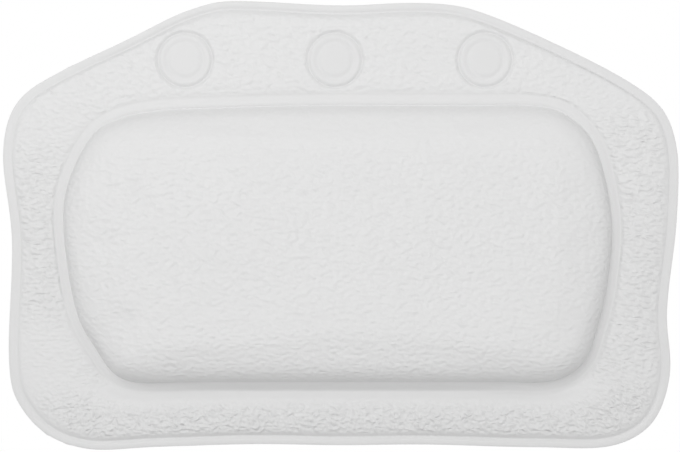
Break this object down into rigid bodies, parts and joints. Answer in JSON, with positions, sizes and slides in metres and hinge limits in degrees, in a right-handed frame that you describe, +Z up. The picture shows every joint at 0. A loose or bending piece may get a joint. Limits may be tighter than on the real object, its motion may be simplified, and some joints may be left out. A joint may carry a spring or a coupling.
{
  "type": "bath pillow",
  "caption": "Padded head rest for a bathtub: a crowned foam cushion in a welded vinyl cover, with a header flap that carries suction cups on its back.",
  "frame": {"origin": "on the wall that the pillow hangs on, in the plane of the suction cups' lips, level with the cup row and on the pillow's centre line", "axes": "+X to the right as seen by the bather's side, +Y into the wall, +Z up; the padded front faces -Y"},
  "size_m": [0.3303, 0.0362, 0.2195],
  "materials": {
    "embossed_foam": "matte",
    "back_film": "satin",
    "weld": "satin",
    "core_foam": "matte",
    "cup_vinyl": "gloss"
  },
  "bodies": {
    "header": {"header_front": "embossed_foam", "header_back": "back_film", "header_edge_weld": "weld", "cup_weld_left": "weld", "cup_weld_middle": "weld", "cup_weld_right": "weld", "cup_flange_left": "cup_vinyl", "cup_flange_middle": "cup_vinyl", "cup_flange_right": "cup_vinyl"},
    "pad": {"pad_front": "embossed_foam", "pad_back": "back_film", "pad_edge_weld": "weld", "pad_weld": "weld", "foam_core": "core_foam"},
    "cup_left": {"cup_skirt_left": "cup_vinyl"},
    "cup_middle": {"cup_skirt_middle": "cup_vinyl"},
    "cup_right": {"cup_skirt_right": "cup_vinyl"}
  },
  "joints": [
    {"name": "header_fold", "type": "hinge", "parent": "header", "child": "pad", "pos_m": [0, -0.0128, -0.0154], "axis": [1, 0, 0], "range_deg": [-30, 90], "stiffness_Nm_per_rad": 0.15},
    {"name": "cup_left_press", "type": "slide", "parent": "header", "child": "cup_left", "axis": [0, -1, 0], "range_m": [0, 0.004], "stiffness_N_per_m": 800},
    {"name": "cup_middle_press", "type": "slide", "parent": "header", "child": "cup_middle", "axis": [0, -1, 0], "range_m": [0, 0.004], "stiffness_N_per_m": 800},
    {"name": "cup_right_press", "type": "slide", "parent": "header", "child": "cup_right", "axis": [0, -1, 0], "range_m": [0, 0.004], "stiffness_N_per_m": 800}
  ]
}
